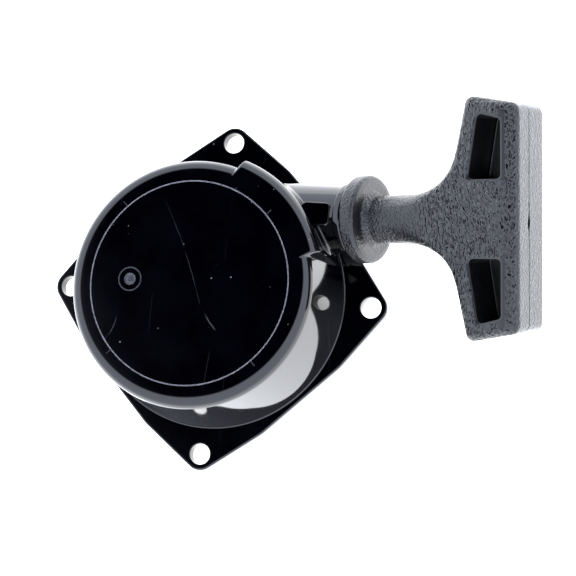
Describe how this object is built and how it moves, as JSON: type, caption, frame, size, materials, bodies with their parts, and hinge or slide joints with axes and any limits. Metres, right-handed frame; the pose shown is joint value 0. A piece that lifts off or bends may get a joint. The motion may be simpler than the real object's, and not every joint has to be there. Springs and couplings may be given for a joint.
{
  "type": "recoil starter",
  "caption": "Pull-rope recoil starter: round moulded housing on a four-ear flange, with rope reel, spiral return spring, swinging pawls and a T-shaped pull handle.",
  "frame": {"origin": "centre of the four-bolt circle on the mounting face, on the reel's axis", "axes": "+Z along the reel's axis, from the mounting face towards the cap; +X the way the rope leaves, seen from above; +X and +Y each pass through a bolt hole"},
  "size_m": [0.1731, 0.1257, 0.0544],
  "materials": {
    "housing_plastic": "glossy black injection-moulded nylon",
    "grip_plastic": "charcoal moulded grip with a pebbled grain",
    "reel_plastic": "natural ivory nylon, satin",
    "rope": "braided off-white cord with dark flecks",
    "spring_steel": "blued spring steel strip, lightly oiled",
    "zinc_steel": "bright zinc-plated steel",
    "pressed_steel": "pressed sheet steel, satin",
    "pawl_metal": "sintered steel, dark satin",
    "brass": "turned brass",
    "washer_nylon": "white nylon"
  },
  "bodies": {
    "housing": {"housing": "housing_plastic", "rope_guide": "zinc_steel", "post_insert": "brass", "spring_case": "pressed_steel", "recoil_spring": "spring_steel", "thrust_washer": "washer_nylon", "friction_spring": "spring_steel", "spring_washer": "zinc_steel", "centre_screw": "zinc_steel", "rope_lead": "rope"},
    "reel": {"reel": "reel_plastic", "rope_wound": "rope", "reel_knot": "rope", "pawl_pin_a": "zinc_steel", "pawl_pin_b": "zinc_steel"},
    "friction_plate": {"friction_plate": "pressed_steel"},
    "pawl_a": {"pawl_a": "pawl_metal"},
    "pawl_b": {"pawl_b": "pawl_metal"},
    "rope_end": {"handle_knot": "rope", "knot_washer": "zinc_steel"},
    "grip": {"handle": "grip_plastic"}
  },
  "joints": [
    {"name": "handle_pull", "type": "slide", "parent": "housing", "child": "rope_end", "axis": [0.9511, 0, 0.309], "range_m": [0, 0.76], "deforming": ["rope_lead", "rope_wound", "recoil_spring"]},
    {"name": "reel_spin", "type": "hinge", "parent": "housing", "child": "reel", "pos_m": [0, 0, 0.015], "axis": [0, 0, -1], "range_deg": [0, 1800], "stiffness_Nm_per_rad": 0.0064, "springref_deg": -1340.72},
    {"name": "handle_swivel", "type": "hinge", "parent": "rope_end", "child": "grip", "pos_m": [0.0502, 0.027, 0.0192], "axis": [0.9511, 0, 0.309], "range_deg": [-180, 180]},
    {"name": "plate_turn", "type": "hinge", "parent": "reel", "child": "friction_plate", "pos_m": [0, 0, 0.0069], "axis": [0, 0, 1], "range_deg": [0, 28]},
    {"name": "pawl_a_swing", "type": "hinge", "parent": "reel", "child": "pawl_a", "pos_m": [0.019, 0, 0.009], "axis": [0, 0, 1], "range_deg": [0, 28]},
    {"name": "pawl_b_swing", "type": "hinge", "parent": "reel", "child": "pawl_b", "pos_m": [-0.019, 0, 0.009], "axis": [0, 0, 1], "range_deg": [0, 28]}
  ],
  "couplings": [
    {"joint": "reel_spin", "follows": "handle_pull", "rad_per_m": 41.3},
    {"joint": "pawl_a_swing", "follows": "plate_turn", "ratio": 1},
    {"joint": "pawl_b_swing", "follows": "plate_turn", "ratio": 1}
  ]
}
